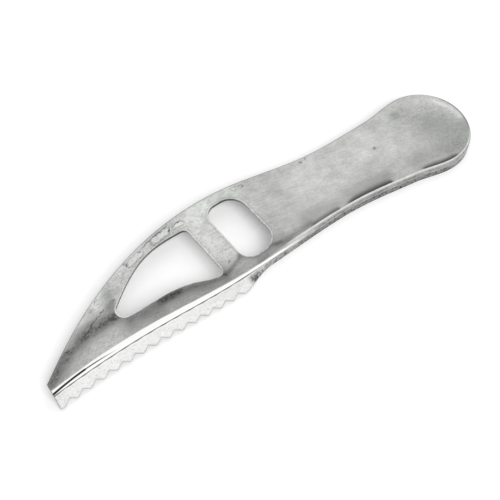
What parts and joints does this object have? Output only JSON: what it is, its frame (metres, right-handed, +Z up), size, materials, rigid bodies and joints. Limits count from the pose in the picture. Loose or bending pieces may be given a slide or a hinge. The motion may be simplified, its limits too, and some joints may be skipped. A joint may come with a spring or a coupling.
{
  "type": "fish scaler",
  "caption": "Hand fish scaler pressed from sheet aluminium: arched blade with a toothed flared edge, a leaf-shaped opening and a finger slot, and a rounded hollow handle.",
  "frame": {"origin": "under the middle of the scaler's outline, on the plane that it lies on", "axes": "+X from the open tip along the scaler to the handle's round end, +Y from the toothed edge to the arched back, +Z up through the top face"},
  "size_m": [0.204, 0.0448, 0.0082],
  "materials": {
    "worn_aluminium": "satin, worn and stained, polished along the toothed shoulder"
  },
  "bodies": {
    "root": {"scaler_body": "worn_aluminium"}
  },
  "joints": []
}
